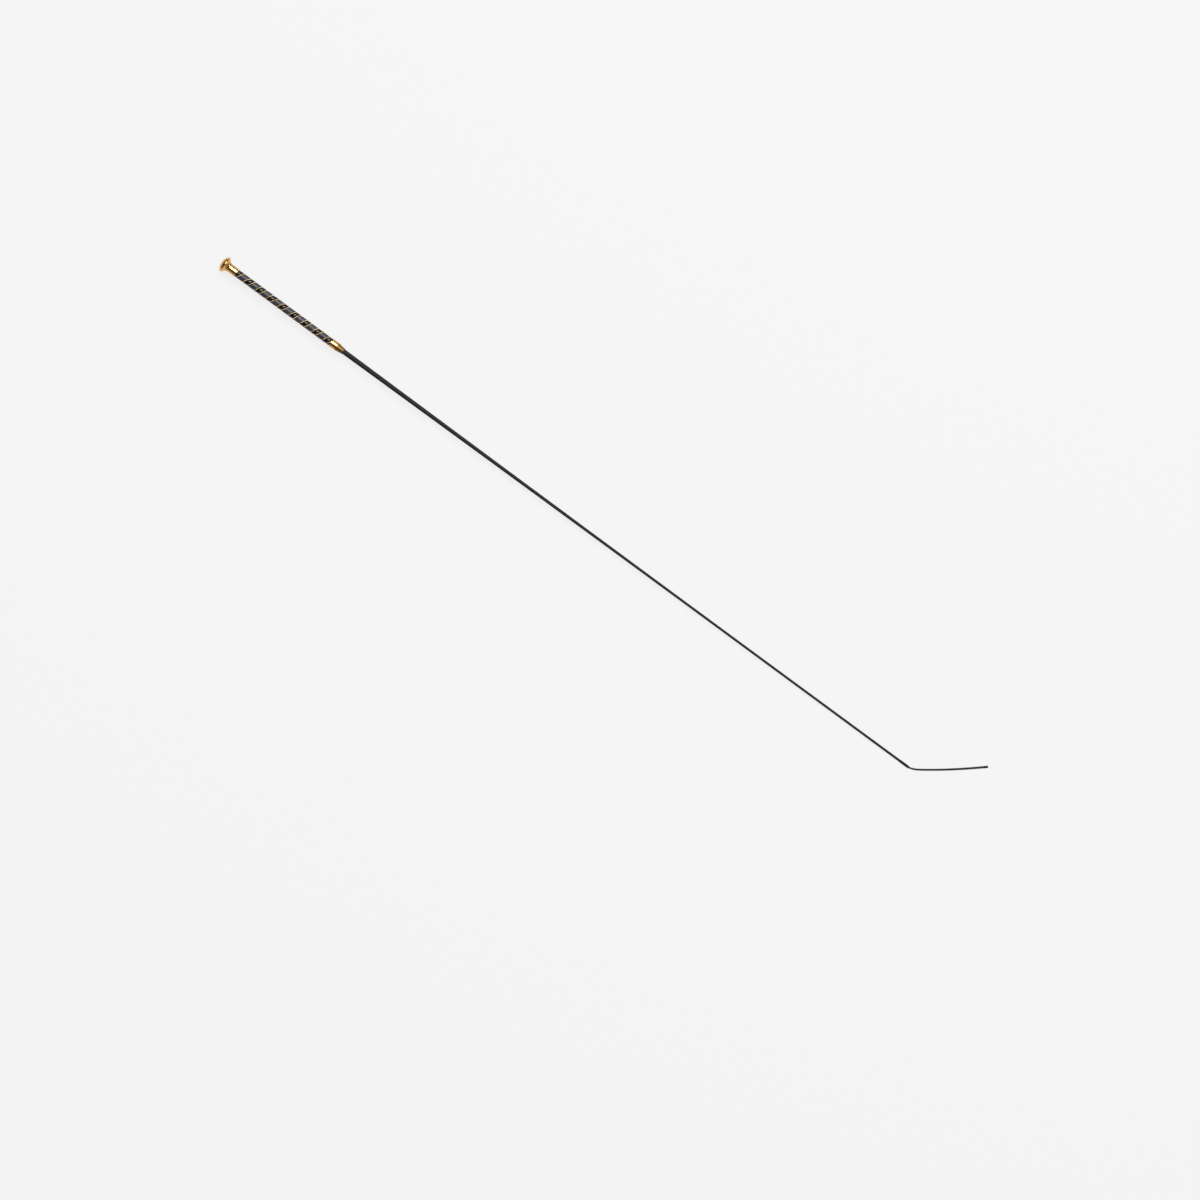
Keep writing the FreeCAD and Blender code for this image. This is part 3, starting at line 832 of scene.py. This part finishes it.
class WHIP_OT_grip(bpy.types.Operator):
    """Wind the leather band, the patent strip and the two gold cords round the grip"""
    bl_idname = "whip.grip"
    bl_label = "Grip windings"

    def execute(self, context):
        settings = context.scene.whip_grip
        clearance, gap = 0.05 * MM, 0.04 * MM
        self.start = span("rear_thread_binding")[1] + clearance
        self.end = span("front_thread_binding")[0] - clearance
        self.first = span("butt_cap")[1] - settings.lead
        self.foot = radius_of("grip_underlay") + 0.03 * MM
        self.pitch = settings.pitch
        around = 2 * math.pi * (self.foot + settings.cord / 2)
        width = settings.cord / math.cos(math.atan(settings.pitch / around))
        leather_width = settings.pitch - settings.spacing - width - 2 * gap
        strip_width = settings.spacing - width - 2 * gap
        leather_middle = (settings.spacing + settings.pitch) / 2
        leather = self.band("leather_winding", leather_middle, leather_width, settings.leather_height,
                            squareness=9.0, waviness=0.02)
        finish_piece(leather, leather_material(settings.leather), "stock", "grey_leather", "leather_band")
        strip = self.band("patent_winding", settings.spacing / 2, strip_width, settings.strip_height,
                          squareness=2.2, waviness=0.0)
        finish_piece(strip, patent_material(settings.patent), "stock", "patent_strip", "gloss_strip")
        gold = gold_thread_material(settings.gold)
        for name, node, offset in (("gold_twist_rear", "gold_cord_rear", 0.0),
                                   ("gold_twist_front", "gold_cord_front", settings.spacing)):
            cord = self.twisted_cord(name, offset, settings.cord, settings.ply_twist)
            finish_piece(cord, gold, "stock", "gold_thread", node)
        return {"FINISHED"}

    def turn_at(self, station, offset):
        """Angle from straight up at which a winding's middle is at a station, in a left-handed turn."""
        return (station - self.first - offset) / self.pitch * 2 * math.pi

    def band(self, name, offset, width, height, squareness, waviness):
        """Flat winding with rounded edges, cut off level at both ends of the grip."""
        per_turn, across = 120, 25
        first = self.turn_at(self.start - width / 2, offset)
        last = self.turn_at(self.end + width / 2, offset)
        count = int((last - first) / (2 * math.pi) * per_turn)
        turn = np.linspace(first, last, count)[:, None]
        middle = self.first + offset + turn / (2 * math.pi) * self.pitch
        share = np.sin(np.linspace(-math.pi / 2, math.pi / 2, across))
        top = self.foot + height * (1 - np.abs(share) ** squareness) ** (1 / squareness)
        section = np.concatenate([share, [0.5, -0.5]])[None, :]
        out = np.concatenate([top, [self.foot, self.foot]])[None, :]
        ripple = waviness * height * (np.sin(7.3 * turn) + np.sin(17.1 * turn + 5 * section))
        out = out + ripple * (out > self.foot + 0.3 * height)
        station = np.clip(middle + section * width / 2, self.start, self.end)
        return skin(name, place(station, turn, out))

    def twisted_cord(self, name, offset, diameter, ply_twist):
        """Three plies twisted together along the winding's helix."""
        step = 0.2 * MM
        ply = diameter * 0.268
        reach = diameter / 2 - ply
        first = self.turn_at(self.start + diameter / 2, offset)
        last = self.turn_at(self.end - diameter / 2, offset)
        centre_out = self.foot + diameter / 2
        turn_length = math.hypot(2 * math.pi * centre_out, self.pitch)
        length = (last - first) / (2 * math.pi) * turn_length
        count = int(length / step)
        turn = np.linspace(first, last, count)
        station = self.first + offset + turn / (2 * math.pi) * self.pitch
        slope = math.atan(self.pitch / (2 * math.pi * centre_out))
        travel = np.linspace(0, length, count)
        plies = []
        for number in range(3):
            twist = (travel / ply_twist + number / 3) * 2 * math.pi
            outward = reach * np.cos(twist)
            sideways = reach * np.sin(twist)
            path = place(station + sideways * math.cos(slope),
                         turn - sideways * math.sin(slope) / centre_out, centre_out + outward)
            plies.append(skin(f"{name}_{number}", tube_along(path, ply, 8)))
        return joined(name, plies)


# Stock

class WHIP_OT_stock(bpy.types.Operator):
    """Braid the tapered cover of the stock and whip its tip with thread"""
    bl_idname = "whip.stock"
    bl_label = "Stock"

    def execute(self, context):
        settings = context.scene.whip_stock
        self.butt = radius_of("braided_jacket")
        self.tip = radius_of("tip_bush")
        self.taper_start = span("ferrule_nose")[1]
        material = braid_material("braided_cover", settings.colour, roughness=0.52, yarn_scale=2200)
        braid = self.build_braid(settings)
        finish_piece(braid, material, "stock", "lacquered_braid", "braided_jacket")
        whipping = self.build_whipping(settings)
        thread = braid_material("whipping_thread", scaled(settings.colour, 0.7), roughness=0.36,
                                yarn_scale=3600)
        finish_piece(whipping, thread, "stock", "black_thread", "tip_whipping")
        return {"FINISHED"}

    PER_STRAND = 4

    def radius_at(self, settings, station):
        """The stock's radius: a parabola that levels out at the tip's radius."""
        share = np.clip((station - self.taper_start) / settings.taper, 0, 1)
        return self.tip + (self.butt - self.tip) * (1 - share) ** 2

    def build_braid(self, settings):
        """Over-and-under braid at a steady angle, its strands narrower where the stock is thinner."""
        under_nose, short_of_tip = 4 * MM, 0.5 * MM
        start = self.taper_start - under_nose
        end = span("tip_bush")[1] - short_of_tip
        grain_pit_shade = np.linspace(start, end, 20000)
        around = 2 * math.pi * self.radius_at(settings, grain_pit_shade)
        rate = settings.strands * math.tan(settings.braid_angle) / around
        phase = np.concatenate([[0.0], np.cumsum((rate[1:] + rate[:-1]) / 2 * np.diff(grain_pit_shade))])
        rows = np.arange(0, math.floor(phase[-1] * self.PER_STRAND)) / self.PER_STRAND
        station = np.append(np.interp(rows, phase, grain_pit_shade), end)[:, None]
        shift = np.append(rows, phase[-1])[:, None]
        sides = self.PER_STRAND * settings.strands
        turn = np.arange(sides)[None, :] / self.PER_STRAND + OFF_SEAM
        height, first = braid_height(turn + shift, turn - shift)
        radius = self.radius_at(settings, station)
        out = radius * (1 + settings.relief * (height - 0.6))
        # Painted shade: this attribute follows the braid's height, so the cover is darker in the crevices between
        # its strands.
        crevice_shade_tone = 0.2 + 0.5 * height * np.where(first, 1.0, 0.85)
        angle = turn / settings.strands * 2 * math.pi
        return skin("stock_braid", place(station, angle, out), attributes={"crevice_shade_tone": crevice_shade_tone})

    def build_whipping(self, settings):
        """Thread wound side by side over the braid's end, then closing down on the knot."""
        start, end = span("tip_whipping")[0], span("tip_bush")[1]
        half = settings.thread / 2
        full = radius_of("tip_whipping") - half
        knot = (PIVOT - CAP_TOP).dot(AXIS)
        drop = PIVOT - CAP_TOP - AXIS * knot
        round_knot = radius_of("lash_knot") + settings.slack + half
        mouth = math.sqrt(round_knot ** 2 - settings.socket ** 2)
        angle = np.linspace(0, math.pi / 2, 60)
        shut = np.concatenate([[0.0], 1 - np.cos(angle)])
        reach = knot - settings.socket - end
        station = np.concatenate([[start + half], end + reach * np.sin(angle)])
        out = full + (mouth - full) * shut
        steps = np.hypot(np.diff(station), np.diff(out - shut * drop.length))
        lengths = np.concatenate([[0.0], np.cumsum(steps)])
        turns, per_turn = int(lengths[-1] / settings.thread), 24
        travel = np.linspace(0, lengths[-1], turns * per_turn + 1)
        turn = travel / lengths[-1] * 2 * math.pi * turns
        station, out, shut = (np.interp(travel, lengths, values) for values in (station, out, shut))
        path = place(station, turn, out) + shut[:, None] * np.array(drop)
        rings = tube_along(path, half, 8)
        return skin("tip_thread", rings, attributes={"crevice_shade_tone": np.full(rings.shape[:2], 0.6)})


class WHIP_OT_inside(bpy.types.Operator):
    """Give the pieces inside the whip their finishes"""
    bl_idname = "whip.inside"
    bl_label = "Inner pieces"

    def execute(self, context):
        fibre = plain_material("glass_fibre", (0.55, 0.56, 0.48), 0.35, 0.0, 300)
        plastic = plain_material("moulded_plastic", (0.035, 0.035, 0.037), 0.4, 0.0, 500)
        tape = plain_material("cloth_tape", (0.05, 0.05, 0.05), 0.8, 0.0, 1800)
        thread = plain_material("binding_thread", (0.02, 0.018, 0.018), 0.6, 0.0, 2400)
        wood = plain_material("plug_beech", (0.5, 0.33, 0.18), 0.55, 0.0, 180)
        steel = plain_material("plain_steel", (0.55, 0.55, 0.56), 0.25, 1.0, 700)
        finishes = {
            "core_rod": fibre, "grip_sleeve": plastic, "ferrule_liner": plastic, "cap_bush": plastic,
            "tip_bush": plastic, "grip_underlay": tape, "rear_thread_binding": thread,
            "front_thread_binding": thread, "end_plug": wood, "cap_screw": steel, "balance_weight": steel,
        }
        for node, material in finishes.items():
            mesh = frame["nodes"][node].data
            mesh.materials.clear()
            mesh.materials.append(material)
        return {"FINISHED"}


class WHIP_PT_panel(bpy.types.Panel):
    """Buttons that build each part of the whip"""
    bl_idname = "WHIP_PT_panel"
    bl_label = "Dressage whip"
    bl_space_type = "VIEW_3D"
    bl_region_type = "UI"
    bl_category = "Whip"

    def draw(self, context):
        for operator in OPERATORS:
            self.layout.operator(operator.bl_idname)


SETTINGS = {
    "whip_stage": StageSettings,
    "whip_metal": MetalSettings,
    "whip_grip": GripSettings,
    "whip_stock": StockSettings,
    "whip_lash": LashSettings,
}
OPERATORS = (WHIP_OT_stage, WHIP_OT_lash, WHIP_OT_cap, WHIP_OT_ferrule, WHIP_OT_grip, WHIP_OT_stock,
             WHIP_OT_inside)
CLASSES = (*SETTINGS.values(), *OPERATORS, WHIP_PT_panel)


def register():
    for cls in CLASSES:
        bpy.utils.register_class(cls)
    for name, group in SETTINGS.items():
        setattr(bpy.types.Scene, name, PointerProperty(type=group))


def unregister():
    for name in SETTINGS:
        delattr(bpy.types.Scene, name)
    for cls in reversed(CLASSES):
        bpy.utils.unregister_class(cls)


def main():
    register()
    bpy.ops.whip.stage()
    bpy.ops.whip.lash()
    bpy.ops.whip.cap()
    bpy.ops.whip.ferrule()
    bpy.ops.whip.grip()
    bpy.ops.whip.stock()
    bpy.ops.whip.inside()


if __name__ == "__main__":
    main()
